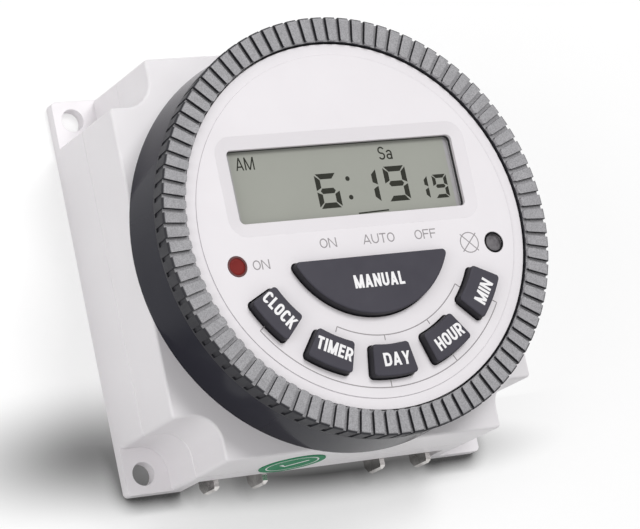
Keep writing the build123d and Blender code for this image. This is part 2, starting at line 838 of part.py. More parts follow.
varistor_face = Plane(
    origin=(
        varistor_at[0],
        varistor_at[1] - varistor_thickness / 2,
        power_board_top_z + varistor_diameter / 2,
    ),
    z_dir=(0, 1, 0),
)
with BuildPart() as varistor:
    with BuildSketch(varistor_face):
        Circle(varistor_diameter / 2)
    extrude(amount=varistor_thickness)
    fillet(varistor.edges(), varistor_thickness / 4)
varistor.part.label = "varistor"
export_step(varistor.part, "parts/varistor.step")

resistor_end = Plane(
    origin=(
        resistor_at[0] - resistor_length / 2,
        resistor_at[1],
        power_board_top_z + resistor_diameter / 2,
    ),
    z_dir=(1, 0, 0),
)
with BuildPart() as fuse_resistor:
    with BuildSketch(resistor_end):
        Circle(resistor_diameter / 2)
    extrude(amount=resistor_length)
    fillet(fuse_resistor.edges(), resistor_diameter / 6)
fuse_resistor.part.label = "fuse_resistor"
export_step(fuse_resistor.part, "parts/fuse_resistor.step")

with BuildPart() as link_header:
    with BuildSketch(Plane.XY.offset(power_board_top_z)):
        with Locations((0, header_y)):
            Rectangle(header_pins * header_pitch, header_height)
    extrude(amount=header_height)
    with BuildSketch(Plane.XY.offset(display_board_z)):
        with Locations((0, header_y)):
            Rectangle(header_pins * header_pitch, header_height)
    extrude(amount=-header_height)
    with BuildSketch(Plane.XY.offset(power_board_top_z)):
        with Locations((0, header_y)):
            with GridLocations(header_pitch, 0, header_pins, 1):
                Rectangle(pin_side, pin_side)
    extrude(amount=display_board_z - power_board_top_z)
link_header.part.label = "link_header"
export_step(link_header.part, "parts/link_header.step")

# Terminals: flat tabs in the bay, each with a riser and a foot on the power board
tab_end_y = -half_side - tab_reach
for number, tab_x in enumerate(terminal_x, start=1):
    with BuildPart() as terminal:
        with BuildSketch(Plane.YZ.offset(tab_x)):
            with BuildLine():
                Polyline(
                    (tab_end_y, tab_z + tab_lower_corner),
                    (tab_end_y + tab_lower_corner, tab_z),
                    (bay_back_y - seat_gap, tab_z),
                    (bay_back_y - seat_gap, riser_z),
                    (riser_y + riser_width, riser_z),
                    (riser_y + riser_width, power_board_top_z),
                    (tongue_end_y + foot_length, power_board_top_z),
                    (tongue_end_y + foot_length, power_board_top_z + foot_height),
                    (riser_y, power_board_top_z + foot_height),
                    (riser_y, tab_top_z),
                    (tab_end_y + tab_upper_corner, tab_top_z),
                    (tab_end_y, tab_top_z - tab_upper_corner),
                    close=True,
                )
            make_face()
            with Locations((tab_end_y + tab_hole_from_tip, tab_z + tab_width / 2)):
                Circle(tab_hole_diameter / 2, mode=Mode.SUBTRACT)
        extrude(amount=tab_thickness / 2, both=True)
        tip = terminal.faces().sort_by(Axis.Y)[0]
        chamfer(tip.edges().filter_by(Axis.Z), tab_tip_bevel)
    terminal.part.label = f"terminal_{number}"
    export_step(terminal.part, f"parts/terminal_{number}.step")

# Screws
case_screw = screw(
    case_screw_diameter, case_screw_length, case_head_diameter, case_screw_diameter, case_head_height
)
with BuildPart() as case_screws:
    with GridLocations(2 * case_screw_at, 2 * case_screw_at, 2, 2):
        add(case_screw)
case_screws.part.label = "case_screws"
export_step(case_screws.part, "parts/case_screws.step")

display_screw = screw(
    small_screw_diameter,
    board_thickness + small_screw_length,
    small_head_diameter,
    small_head_diameter,
    small_head_height,
)
with BuildPart() as display_screws:
    with Locations(*[(x, y, display_board_z - small_head_height) for x, y in display_boss_points]):
        add(display_screw)
display_screws.part.label = "display_screws"
export_step(display_screws.part, "parts/display_screws.step")

board_screw = screw(
    small_screw_diameter, board_screw_length, small_head_diameter, small_head_diameter, small_head_height
)
with BuildPart() as power_board_screws:
    with Locations(*[(x, y, power_board_top_z + small_head_height) for x, y in board_screw_points]):
        add(board_screw.rotate(Axis.X, 180))
power_board_screws.part.label = "power_board_screws"
export_step(power_board_screws.part, "parts/power_board_screws.step")

# Sticker across the seam on the lower side
with BuildPart() as seal_sticker:
    with BuildSketch(Plane(origin=(sticker_x, -half_side, sticker_z), z_dir=(0, -1, 0))):
        Circle(sticker_diameter / 2)
    extrude(amount=sticker_thickness)
seal_sticker.part.label = "seal_sticker"
export_step(seal_sticker.part, "parts/seal_sticker.step")
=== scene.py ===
"""A digital timer switch on a pale floor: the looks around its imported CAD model."""

import json
from math import cos, pi, radians, sin

import bpy
from mathutils import Matrix, Vector
from mathutils.geometry import delaunay_2d_cdt


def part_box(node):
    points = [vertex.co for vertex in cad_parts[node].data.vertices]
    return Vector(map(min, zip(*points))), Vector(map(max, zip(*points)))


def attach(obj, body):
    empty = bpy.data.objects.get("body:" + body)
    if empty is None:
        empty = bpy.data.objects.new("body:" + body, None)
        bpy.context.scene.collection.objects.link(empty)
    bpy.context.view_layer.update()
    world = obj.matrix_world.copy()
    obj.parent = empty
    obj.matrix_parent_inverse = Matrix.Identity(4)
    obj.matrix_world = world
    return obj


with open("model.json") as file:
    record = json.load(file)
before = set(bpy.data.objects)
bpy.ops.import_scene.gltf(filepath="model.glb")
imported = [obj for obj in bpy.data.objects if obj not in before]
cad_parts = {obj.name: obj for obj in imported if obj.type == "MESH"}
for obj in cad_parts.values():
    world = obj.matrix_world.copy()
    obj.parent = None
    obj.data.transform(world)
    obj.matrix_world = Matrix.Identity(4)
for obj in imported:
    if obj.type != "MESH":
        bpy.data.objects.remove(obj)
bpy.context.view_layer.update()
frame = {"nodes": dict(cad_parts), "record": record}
nodes = frame["nodes"]

MM = 0.001

# Levels and the dial's radius in millimetres, taken from the frame
DIAL_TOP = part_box("face_plate")[1].z / MM
DIAL_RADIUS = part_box("face_plate")[1].x / MM
GLASS_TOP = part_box("lcd_panel")[1].z / MM
KEY_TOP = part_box("manual_button")[1].z / MM
RING_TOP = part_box("knurled_ring")[1].z / MM

# Inks lie this much above what they are printed on, and corners this near to each other are one
INK = 0.006
MERGE = 1e-4


# Helpers for meshes


def add_object(name, mesh, material, body):
    """A new piece that rides on a body, with its material."""
    piece = bpy.data.objects.new(name, mesh)
    bpy.context.scene.collection.objects.link(piece)
    mesh.materials.clear()
    mesh.materials.append(material)
    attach(piece, body)


def printed(outlines, level):
    """Outlines of (x, y) points in millimetres, merged where they overlap, as a thin print on a level."""
    corners, rings = [], []
    for outline in outlines:
        rings.append(list(range(len(corners), len(corners) + len(outline))))
        corners += [Vector(point) for point in outline]
    flat, _, triangles, _, _, sources = delaunay_2d_cdt(corners, [], rings, 1, MERGE)
    top = [tuple(triangle) for triangle, source in zip(triangles, sources) if source]
    count = len(flat)
    points = [(x * MM, y * MM, z * MM) for z in (level + INK, level) for x, y in flat]
    faces = top + [tuple(corner + count for corner in reversed(triangle)) for triangle in top]
    sides = {(triangle[i - 1], triangle[i]) for triangle in top for i in range(3)}
    faces += [(b, a, a + count, b + count) for a, b in sorted(sides) if (b, a) not in sides]
    mesh = bpy.data.meshes.new("print")
    mesh.from_pydata(points, [], faces)
    return mesh


# Helpers for materials


class Nodes:
    """Short ways to add and link the shader nodes of a material or of the world."""

    def __init__(self, owner, shader, output):
        """Starts the owner afresh, with its coordinates and one shader that feeds the output."""
        owner.use_nodes = True
        self.owner = owner
        self.tree = owner.node_tree
        self.tree.nodes.clear()
        self.coordinates = self.add("ShaderNodeTexCoord")
        self.shader = self.add(shader)
        self.link(self.shader.outputs[0], self.add(output).inputs["Surface"])

    def add(self, kind, **settings):
        node = self.tree.nodes.new(kind)
        for key, value in settings.items():
            setattr(node, key, value)
        return node

    def link(self, source, target):
        self.tree.links.new(source, target)

    def shade(self, **sockets):
        """Links or sets sockets of the shader, named with _ for each space."""
        for key, value in sockets.items():
            socket = self.shader.inputs[key.replace("_", " ")]
            if isinstance(value, bpy.types.NodeSocket):
                self.link(value, socket)
            else:
                socket.default_value = value

    def maths(self, operation, first, second):
        """Two values made into one, such as by MULTIPLY or MAXIMUM."""
        node = self.add("ShaderNodeMath", operation=operation)
        self.link(first, node.inputs[0])
        self.link(second, node.inputs[1])
        return node.outputs[0]

    def noise(self, size_mm, detail=3.0, roughness=0.55, stretch=(1, 1, 1)):
        """Noise whose features are about size_mm across."""
        place = self.add("ShaderNodeMapping")
        place.inputs["Scale"].default_value = [s / (size_mm * MM) for s in stretch]
        self.link(self.coordinates.outputs["Object"], place.inputs["Vector"])
        texture = self.add("ShaderNodeTexNoise")
        texture.inputs["Scale"].default_value = 1.0
        texture.inputs["Detail"].default_value = detail
        texture.inputs["Roughness"].default_value = roughness
        self.link(place.outputs["Vector"], texture.inputs["Vector"])
        return texture.outputs["Fac"]

    def along(self, coordinates, axis):
        """One axis of a kind of coordinates: Object is the place in metres, and Normal the way
        that the surface faces, from -1 to 1."""
        split = self.add("ShaderNodeSeparateXYZ")
        self.link(self.coordinates.outputs[coordinates], split.inputs["Vector"])
        return split.outputs[axis]

    def radius(self):
        """The distance from the dial's axis, in metres."""
        flat = self.add("ShaderNodeVectorMath", operation="MULTIPLY")
        flat.inputs[1].default_value = (1, 1, 0)
        self.link(self.coordinates.outputs["Object"], flat.inputs[0])
        length = self.add("ShaderNodeVectorMath", operation="LENGTH")
        self.link(flat.outputs["Vector"], length.inputs[0])
        return length.outputs["Value"]

    def spread(self, value, low, high, start=0.3, end=0.7):
        """A value mapped from start..end to low..high."""
        node = self.add("ShaderNodeMapRange")
        node.inputs["From Min"].default_value = start
        node.inputs["From Max"].default_value = end
        node.inputs["To Min"].default_value = low
        node.inputs["To Max"].default_value = high
        self.link(value, node.inputs["Value"])
        return node.outputs["Result"]

    def rise(self, value, start_mm, end_mm):
        """Zero up to start_mm and one from end_mm on, for a value in metres."""
        return self.spread(value, 0, 1, start_mm * MM, end_mm * MM)

    def blend(self, share, first, second):
        """A colour between two, by share."""
        node = self.add("ShaderNodeMix", data_type="RGBA")
        self.link(share, node.inputs["Factor"])
        for socket, colour in ((node.inputs["A"], first), (node.inputs["B"], second)):
            if isinstance(colour, bpy.types.NodeSocket):
                self.link(colour, socket)
            else:
                socket.default_value = (*colour, 1)
        return node.outputs["Result"]

    def bump(self, height, distance_mm, edge_mm=0.0):
        """A bump from height, over a normal rounded at the edges by edge_mm."""
        node = self.add("ShaderNodeBump")
        node.inputs["Distance"].default_value = distance_mm * MM
        self.link(height, node.inputs["Height"])
        if edge_mm:
            rounded = self.add("ShaderNodeBevel", samples=6)
            rounded.inputs["Radius"].default_value = edge_mm * MM
            self.link(rounded.outputs["Normal"], node.inputs["Normal"])
        return node.outputs["Normal"]


def material_nodes(name):
    """The nodes of a new material."""
    return Nodes(bpy.data.materials.new(name), "ShaderNodeBsdfPrincipled", "ShaderNodeOutputMaterial")


# Millimetres over which the painted shade of the sides, and the unshaded core, give way
SHADE_FADE = 0.1
CORE_FADE = 0.12
# The values of the grain at which speckles start and are full
SPECKLE_BAND = (0.42, 0.62)


def upper_share(n, turn, shaded_below, core_mm, core_top):
    """How far the main colour holds, from 0 to 1, where the sides take a painted shade."""
    faces_up = n.spread(n.along("Normal", "Z"), 0, 1, *turn)
    high_enough = n.rise(n.along("Object", "Z"), shaded_below, shaded_below + SHADE_FADE)
    share = n.maths("MULTIPLY", faces_up, high_enough)
    if core_mm:
        near_axis = n.spread(n.radius(), 1, 0, core_mm * MM, (core_mm + CORE_FADE) * MM)
        core = n.maths("MULTIPLY", near_axis, n.rise(n.along("Object", "Z"), *core_top))
        share = n.maths("MAXIMUM", share, core)
    return share


def surface(
    name,
    colour,
    shade,
    roughness,
    uneven=0.06,
    patch_mm=9.0,
    grain_mm=0.25,
    grain_depth=0.006,
    speckle=0.0,
    edge_mm=0.1,
    stretch=(1, 1, 1),
    shaded_side=None,
    shaded_below=0.0,
    turn=(0.8, 0.97),
    core_mm=None,
    core_top=(0.0, 0.0),
    **sockets,
):
    """A moulded or plated surface: two close shades in soft patches, speckled by its grain,
    with uneven roughness and a fine bump. Where a side colour is given, the sides take it as a
    painted shade, and so does all that lies below the height given for it in millimetres; turn says
    between which upward parts of the normal the painted shade gives way, and all within core_mm of
    the dial's axis keeps the main colour above the heights of core_top. More sockets of the shader are set
    by name."""
    n = material_nodes(name)
    patches = n.noise(patch_mm, detail=4)
    grain = n.noise(grain_mm, detail=2, stretch=stretch)
    base = n.blend(n.spread(patches, 0, 1), colour, shade)
    if speckle:
        darker = [c * (1 - speckle) for c in shade]
        base = n.blend(n.spread(grain, 0, 1, *SPECKLE_BAND), base, darker)
    if shaded_side:
        base = n.blend(upper_share(n, turn, shaded_below, core_mm, core_top), shaded_side, base)
    n.shade(
        Base_Color=base,
        Roughness=n.spread(patches, roughness - uneven, roughness + uneven),
        Normal=n.bump(grain, grain_depth, edge_mm=edge_mm),
        **sockets,
    )
    return n.owner


# Materials of the case, the dial, the keys, the lamp, the sticker and the tabs

WHITE = surface(
    "white_plastic", (0.88, 0.855, 0.875), (0.86, 0.835, 0.855), 0.4, grain_mm=0.5, edge_mm=0.12,
)
# The dial's sloping faces, such as the bevel round the window, take a painted shade darker than its top
DIAL = surface(
    "dial_plastic", (0.85, 0.82, 0.845), (0.83, 0.80, 0.825), 0.55, grain_mm=0.18, grain_depth=0.004,
    edge_mm=0.12, shaded_side=(0.73, 0.70, 0.725), turn=(0.982, 0.996), Specular_IOR_Level=0.25,
)
DRUM = surface(
    "drum_plastic", (0.014, 0.014, 0.023), (0.017, 0.017, 0.027), 0.17, uneven=0.02, patch_mm=14.0,
    grain_mm=2.5, grain_depth=0.003, edge_mm=0.1, Specular_IOR_Level=0.13,
)
# The ring's ridges keep their lighter colour on top and at their inner ends, and take a painted dark shade
# in the grooves and on the outer side
RING = surface(
    "ring_plastic", (0.42, 0.415, 0.43), (0.36, 0.355, 0.37), 0.55, patch_mm=3.0, grain_mm=0.14,
    grain_depth=0.02, speckle=0.27, edge_mm=0.08, stretch=(1, 1, 0.3), shaded_side=(0.024, 0.024, 0.029),
    shaded_below=RING_TOP - 1.0, core_mm=DIAL_RADIUS + 0.32, core_top=(RING_TOP - 0.6, RING_TOP - 0.4),
    Specular_IOR_Level=0.3,
)
# The keys' sides take a painted shade, darker than their tops
KEY = surface(
    "key_plastic", (0.064, 0.061, 0.076), (0.056, 0.053, 0.067), 0.5, patch_mm=5.0, grain_mm=0.2,
    grain_depth=0.006, edge_mm=0.05, shaded_side=(0.026, 0.025, 0.030), turn=(0.2, 0.6), Specular_IOR_Level=0.14,
)
# The reset button's sides take a painted shade, near black
RESET = surface(
    "reset_plastic", (0.20, 0.19, 0.20), (0.095, 0.088, 0.095), 0.5, patch_mm=0.7, grain_mm=0.2,
    edge_mm=0.15, shaded_side=(0.010, 0.010, 0.012), Specular_IOR_Level=0.3,
)
COLLAR = surface(
    "collar_black", (0.004, 0.004, 0.005), (0.007, 0.007, 0.008), 0.4, edge_mm=0.0,
    Specular_IOR_Level=0.05,
)
LAMP_RIM = surface(
    "lamp_rim", (0.095, 0.004, 0.005), (0.07, 0.003, 0.004), 0.5, patch_mm=1.0, edge_mm=0.0,
)
LAMP = surface(
    "lamp_plastic", (0.21, 0.016, 0.013), (0.17, 0.012, 0.010), 0.5, patch_mm=1.5, grain_mm=0.3,
    edge_mm=0.05, Specular_IOR_Level=0.15,
)
FRAME_BLACK = surface(
    "frame_plastic", (0.012, 0.012, 0.013), (0.02, 0.02, 0.022), 0.5, edge_mm=0.05,
)
STICKER = surface(
    "sticker_film", (0.02, 0.25, 0.11), (0.016, 0.215, 0.095), 0.45, patch_mm=2.5, grain_mm=0.4,
    edge_mm=0.03, Specular_IOR_Level=0.05,
)
TIN = surface(
    "terminal_tin", (0.78, 0.76, 0.74), (0.44, 0.42, 0.41), 0.22, uneven=0.06, patch_mm=1.6, grain_mm=0.12,
    grain_depth=0.004, edge_mm=0.0, stretch=(1, 0.15, 1), Metallic=1.0,
)

# Materials of the parts inside and of the screws

STRIP = surface(
    "strip_rubber", (0.72, 0.72, 0.68), (0.6, 0.6, 0.57), 0.6, patch_mm=1.5,
)
CHIP = surface(
    "chip_plastic", (0.022, 0.022, 0.024), (0.035, 0.035, 0.036), 0.5, patch_mm=3.0, grain_mm=0.12,
)
CAN = surface(
    "can_metal", (0.68, 0.68, 0.69), (0.58, 0.58, 0.6), 0.3, patch_mm=3.0, grain_mm=0.15, Metallic=1.0,
)
RELAY = surface(
    "relay_plastic", (0.035, 0.09, 0.32), (0.028, 0.075, 0.27), 0.35, patch_mm=6.0,
)
CAPACITOR = surface(
    "capacitor_plastic", (0.66, 0.42, 0.06), (0.6, 0.37, 0.05), 0.35, patch_mm=6.0,
)
SLEEVE = surface(
    "can_sleeve", (0.035, 0.045, 0.12), (0.03, 0.035, 0.10), 0.3, patch_mm=5.0,
)
VARISTOR = surface(
    "varistor_coat", (0.04, 0.12, 0.42), (0.03, 0.1, 0.36), 0.35, patch_mm=2.0, grain_depth=0.02,
)
RESISTOR = surface(
    "resistor_coat", (0.28, 0.46, 0.33), (0.24, 0.4, 0.28), 0.6, patch_mm=2.0, grain_depth=0.02,
)
STEEL = surface(
    "screw_steel", (0.55, 0.55, 0.56), (0.47, 0.47, 0.46), 0.35, patch_mm=1.2, grain_mm=0.12, Metallic=1.0,
)
PLUNGER = surface(
    "plunger_plastic", (0.6, 0.58, 0.5), (0.52, 0.5, 0.43), 0.5, patch_mm=1.5,
)

# Inks and the display's bare film

PRINT_GREY = surface(
    "grey_ink", (0.27, 0.25, 0.26), (0.33, 0.31, 0.32), 0.55, patch_mm=0.5, grain_mm=0.1, edge_mm=0.0,
)
PRINT_WHITE = surface(
    "white_ink", (0.91, 0.90, 0.91), (0.86, 0.85, 0.86), 0.5, patch_mm=0.5, grain_mm=0.1, edge_mm=0.0,
)
SEGMENT = surface(
    "segment_ink", (0.022, 0.023, 0.017), (0.030, 0.031, 0.024), 0.5, patch_mm=0.6, grain_mm=0.2,
    edge_mm=0.0, Specular_IOR_Level=0.1,
)
FILM_BARE = surface(
    "bare_film", (0.36, 0.35, 0.36), (0.32, 0.31, 0.32), 0.4, patch_mm=1.0, grain_mm=0.2, edge_mm=0.0,
)


def board_material():
    """Solder mask with faint tracks under it."""
    n = material_nodes("board_laminate")
    tracks = n.add("ShaderNodeTexBrick")
    tracks.inputs["Scale"].default_value = 220
    tracks.inputs["Mortar Size"].default_value = 0.06
    n.link(n.coordinates.outputs["Object"], tracks.inputs["Vector"])
    mask = n.blend(n.spread(n.noise(4.0), 0, 1), (0.02, 0.13, 0.045), (0.03, 0.16, 0.055))
    n.shade(
        Base_Color=n.blend(tracks.outputs["Fac"], mask, (0.05, 0.24, 0.08)),
        Roughness=n.spread(n.noise(1.0), 0.3, 0.45),
        Normal=n.bump(tracks.outputs["Fac"], 0.03),
    )
    return n.owner


def glass_material():
    """The display's satin film: grey-green, with a very fine tooth and a soft gloss."""
    n = material_nodes("lcd_glass")
    tone = n.blend(n.spread(n.noise(7.0), 0, 1), (0.355, 0.362, 0.325), (0.345, 0.352, 0.315))
    tooth = n.noise(0.07, detail=1)
    n.shade(
        Base_Color=n.blend(n.spread(tooth, 0, 0.12), tone, (0.28, 0.29, 0.26)),
        Roughness=n.spread(n.noise(3.0), 0.3, 0.38),
        Normal=n.bump(tooth, 0.002),
        Specular_IOR_Level=0.14,
    )
    return n.owner


finishes = {
    "white_plastic": WHITE,
    "dial_plastic": DIAL,
    "drum_plastic": DRUM,
    "ring_plastic": RING,
    "frame_plastic": FRAME_BLACK,
    "lcd_glass": glass_material(),
    "strip_rubber": STRIP,
    "board_laminate": board_material(),
    "chip_plastic": CHIP,
    "can_metal": CAN,
    "lamp_plastic": LAMP,
    "relay_plastic": RELAY,
    "capacitor_plastic": CAPACITOR,
    "can_sleeve": SLEEVE,
    "varistor_coat": VARISTOR,
    "resistor_coat": RESISTOR,
    "screw_steel": STEEL,
    "sticker_film": STICKER,
    "terminal_tin": TIN,
    "key_plastic": KEY,
    "plunger_plastic": PLUNGER,
}
for part in frame["record"]["subparts"]:
    node = nodes[part["node"]]
    node.data.materials.clear()
    node.data.materials.append(finishes[part["material_slot"]])

# The reset button has a lighter face than the other keys
nodes["reset_button"].data.materials[0] = RESET


# Printed lines: thin strips along arcs and straight runs


def strip(points, width):
    """The outline of a line of some width through (x, y) points."""
    flat = [Vector(p) for p in points]
    left, right = [], []
    for i, point in enumerate(flat):
        before, after = flat[max(i - 1, 0)], flat[min(i + 1, len(flat) - 1)]
        along = (after - before).normalized()
        side = Vector((-along.y, along.x)) * width / 2
        left.append(tuple(point + side))
        right.append(tuple(point - side))
    return right + left[::-1]


def polar(radius, angle):
    """A point at a distance and an angle in degrees from the middle."""
    return (radius * cos(radians(angle)), radius * sin(radians(angle)))


def arc(centre, across, up, start, end, steps=24):
    """Points along an ellipse with the given half width and half height."""
    turns = [radians(start + (end - start) * i / steps) for i in range(steps + 1)]
    return [(centre[0] + across * cos(t), centre[1] + up * sin(t)) for t in turns]


def round_line(centre, radius, start, end, ticks):
    """An arc and short ticks that stand on it, as lines: each tick is an angle and a length outward."""
    runs = [arc(centre, radius, radius, start, end, steps=72)]
    for angle, length in ticks:
        places = [Vector(centre) + Vector(polar(radius + reach, angle)) for reach in (0, length)]
        runs.append([tuple(place) for place in places])
    return runs


def crossed_ring(centre, radius, bar_reach):
    """A circle, as two halves, with two crossed bars through it, as lines."""
    runs = [arc(centre, radius, radius, start, start + 180) for start in (0, 180)]
    for turn in (45, 135):
        reach = Vector(polar(bar_reach, turn))
        runs.append([tuple(Vector(centre) - reach), tuple(Vector(centre) + reach)])
    return runs


LINE_WIDTH = 0.16
OUTER_CENTRE, OUTER_RADIUS = (0.2, -0.36), 23.8
OUTER_START, OUTER_END = 215.0, 326.4
OUTER_TICKS = ((OUTER_START, -1.2), (268.8, -1.0), (297.7, -1.0), (OUTER_END, -1.1))
INNER_CENTRE, INNER_RADIUS = (0.7, 0.0), 16.5
INNER_START, INNER_END = 242.0, 322.1
INNER_TICKS = ((INNER_START, 0.88), (268.5, 0.8), (295.3, 0.8), (INNER_END, 0.88))
RESET_SIGN_CENTRE, RESET_SIGN_RADIUS = (17.7, -4.2), 1.5
RESET_SIGN_REACH = RESET_SIGN_RADIUS * 1.25

dial_lines = round_line(OUTER_CENTRE, OUTER_RADIUS, OUTER_START, OUTER_END, OUTER_TICKS)
dial_lines += round_line(INNER_CENTRE, INNER_RADIUS, INNER_START, INNER_END, INNER_TICKS)
dial_lines += crossed_ring(RESET_SIGN_CENTRE, RESET_SIGN_RADIUS, RESET_SIGN_REACH)
lines = printed([strip(points, LINE_WIDTH) for points in dial_lines], DIAL_TOP)
add_object("dial_lines", lines, PRINT_GREY, "case")


# A black ring round the reset button's opening, a little below the dial's face, and the lamp's dark red
# rim


def ring_outlines(centre, inner, outer):
    """A flat ring as two halves that overlap a little."""
    halves = []
    for start in (0, 180):
        rim = arc(centre, outer, outer, start - 1, start + 181)
        halves.append(rim + arc(centre, inner, inner, start + 181, start - 1))
    return halves


def box_centre(node):
    """The middle of a node's box as (x, y) in millimetres."""
    low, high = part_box(node)
    return ((low.x + high.x) / 2 / MM, (low.y + high.y) / 2 / MM)


COLLAR_OUTER = 1.54
COLLAR_WIDTH = 0.26
COLLAR_TOP = DIAL_TOP - 0.03
LAMP_RIM_INNER, LAMP_RIM_OUTER = 1.24, 1.5
collar = ring_outlines(box_centre("reset_button"), COLLAR_OUTER - COLLAR_WIDTH, COLLAR_OUTER)
add_object("reset_collar", printed(collar, COLLAR_TOP), COLLAR, "case")
rim = ring_outlines(box_centre("status_led"), LAMP_RIM_INNER, LAMP_RIM_OUTER)
add_object("lamp_rim", printed(rim, DIAL_TOP), LAMP_RIM, "case")


# Lettering: a plain upright face with strokes of one thickness, drawn one unit high

LETTER_WIDTHS = {
    "A": 0.62, "C": 0.56, "D": 0.58, "E": 0.48, "F": 0.46, "H": 0.58, "K": 0.6, "L": 0.46, "M": 0.76,
    "N": 0.6, "O": 0.58, "R": 0.58, "S": 0.54, "T": 0.52, "U": 0.57, "Y": 0.6, "a": 0.48,
}
LETTER_GAP = 0.1
SIDE_LAP = 0.01
BOW_STEPS = 14


def letter_shapes(letter, width, weight):
    """One letter as outlines that overlap: stems, bars and bows of one thickness."""
    left, middle, right, half = weight / 2, width / 2, width - weight / 2, weight / 2
    top, waist = 1 - half, 0.52
    bow_across = middle - half
    bow_up = min(bow_across * 1.15, 0.5 - half)
    low_bow, high_bow = half + bow_up, 1 - half - bow_up
    s_up = 0.25 - weight / 4
    small_top = 0.72

    def stem(x0, y0, x1, y1):
        return [(x0 - half, y0), (x0 + half, y0), (x1 + half, y1), (x1 - half, y1)]

    def side(x):
        """A round letter's side, let into its bows so that it has some height where they meet."""
        return stem(x, low_bow - SIDE_LAP, x, high_bow + SIDE_LAP)

    def bar(x0, x1, y):
        return [(x0, y - half), (x1, y - half), (x1, y + half), (x0, y + half)]

    def bow(x, y, across, up, start, end):
        outer = arc((x, y), across + half, up + half, start, end, BOW_STEPS)
        return outer + arc((x, y), across - half, up - half, end, start, BOW_STEPS)

    shapes = {
        "A": [stem(left, 0, middle, 1), stem(right, 0, middle, 1), bar(width * 0.22, width * 0.78, 0.28)],
        "C": [
            side(left),
            bow(middle, high_bow, bow_across, bow_up, 12, 180),
            bow(middle, low_bow, bow_across, bow_up, 180, 348),
        ],
        "D": [
            stem(left, 0, left, 1), side(right),
            bar(half, middle, top), bar(half, middle, half),
            bow(middle, high_bow, bow_across, bow_up, 0, 90),
            bow(middle, low_bow, bow_across, bow_up, 270, 360),
        ],
        "E": [
            stem(left, 0, left, 1),
            bar(half, width, top), bar(half, width * 0.92, waist), bar(half, width, half),
        ],
        "F": [stem(left, 0, left, 1), bar(half, width, top), bar(half, width * 0.9, waist)],
        "H": [stem(left, 0, left, 1), stem(right, 0, right, 1), bar(half, right, waist)],
        "I": [stem(left, 0, left, 1)],
        "K": [stem(left, 0, left, 1), stem(left, 0.34, right, 1), stem(right, 0, middle * 0.85, 0.58)],
        "L": [stem(left, 0, left, 1), bar(half, width, half)],
        "M": [
            stem(left, 0, left, 1), stem(right, 0, right, 1),
            stem(middle, 0, left, 1), stem(middle, 0, right, 1),
        ],
        "N": [stem(left, 0, left, 1), stem(right, 0, right, 1), stem(right, 0, left, 1)],
        "O": [
            side(left), side(right),
            bow(middle, high_bow, bow_across, bow_up, 0, 180),
            bow(middle, low_bow, bow_across, bow_up, 180, 360),
        ],
        "R": [
            stem(left, 0, left, 1), bar(half, middle, top), bar(half, middle, waist - half),
            bow(middle, (top + waist - half) / 2, bow_across, (top - waist + half) / 2, -90, 90),
            stem(right, 0, middle, waist),
        ],
        "S": [
            bow(middle, top - s_up, bow_across, s_up, 20, 270),
            bow(middle, half + s_up, bow_across, s_up, -160, 90),
        ],
        "T": [bar(0, width, top), stem(middle, 0, middle, 1)],
        "U": [
            stem(left, low_bow, left, 1), stem(right, low_bow, right, 1),
            bow(middle, low_bow, bow_across, bow_up, 180, 360),
        ],
        "Y": [stem(middle, 0, middle, 0.45), stem(middle, 0.4, left, 1), stem(middle, 0.4, right, 1)],
        "a": [
            stem(right, 0, right, small_top - half - bow_across),
            bow(middle, small_top - half - bow_across, bow_across, bow_across, 0, 160),
            bow(middle, 0.22, bow_across, 0.22 - half, 0, 180),
            bow(middle, 0.22, bow_across, 0.22 - half, 180, 360),
        ],
    }
    return shapes[letter]


def word(text, centre, height, width, angle, weight):
    """The outlines of one word, centred on a point and turned by an angle in degrees."""
    narrow = text.count("I")
    free = width / height - LETTER_GAP * (len(text) - 1) - weight * narrow
    stretch = free / sum(LETTER_WIDTHS[letter] for letter in text if letter != "I")
    turn = Matrix.Rotation(radians(angle), 2)
    along = 0
    outlines = []
    for letter in text:
        letter_width = weight if letter == "I" else LETTER_WIDTHS[letter] * stretch
        for shape in letter_shapes(letter, letter_width, weight):
            places = [Vector(((along + x) * height - width / 2, (y - 0.5) * height)) for x, y in shape]
            outlines.append([tuple(Vector(centre) + turn @ place) for place in places])
        along += letter_width + LETTER_GAP
    return outlines


# Each label: its key, its word, the word's middle and width, and its turn in degrees
KEY_LETTERS = 1.95
KEY_WEIGHT = 0.2
key_labels = (
    ("manual", "MANUAL", (0.5, -8.75), 8.25, 0),
    ("clock", "CLOCK", (-16.38, -11.7), 5.95, -54),
    ("timer", "TIMER", (-8.98, -18.0), 5.75, -27),
    ("day", "DAY", (0.6, -20.4), 4.35, 0),
    ("hour", "HOUR", (9.95, -18.07), 5.25, 27),
    ("minute", "MIN", (17.25, -12.0), 3.8, 54),
)
for key, text, centre, width, angle in key_labels:
    name = f"{key}_label"
    letters = word(text, centre, KEY_LETTERS, width, angle, KEY_WEIGHT)
    add_object(name, printed(letters, KEY_TOP), PRINT_WHITE, f"{key}_key")

# Each word on the dial, with its middle and width
DIAL_LETTERS = 1.42
DIAL_WEIGHT = 0.125
dial_words = (
    ("ON", (-5.6, -2.33), 2.75),
    ("AUTO", (2.77, -2.33), 5.3),
    ("OFF", (10.6, -2.33), 3.6),
    ("ON", (-16.97, -4.6), 2.7),
)
letters = []
for text, centre, width in dial_words:
    letters += word(text, centre, DIAL_LETTERS, width, 0, DIAL_WEIGHT)
add_object("dial_words", printed(letters, DIAL_TOP), PRINT_GREY, "case")


# Display: seven-segment figures and small words under the film


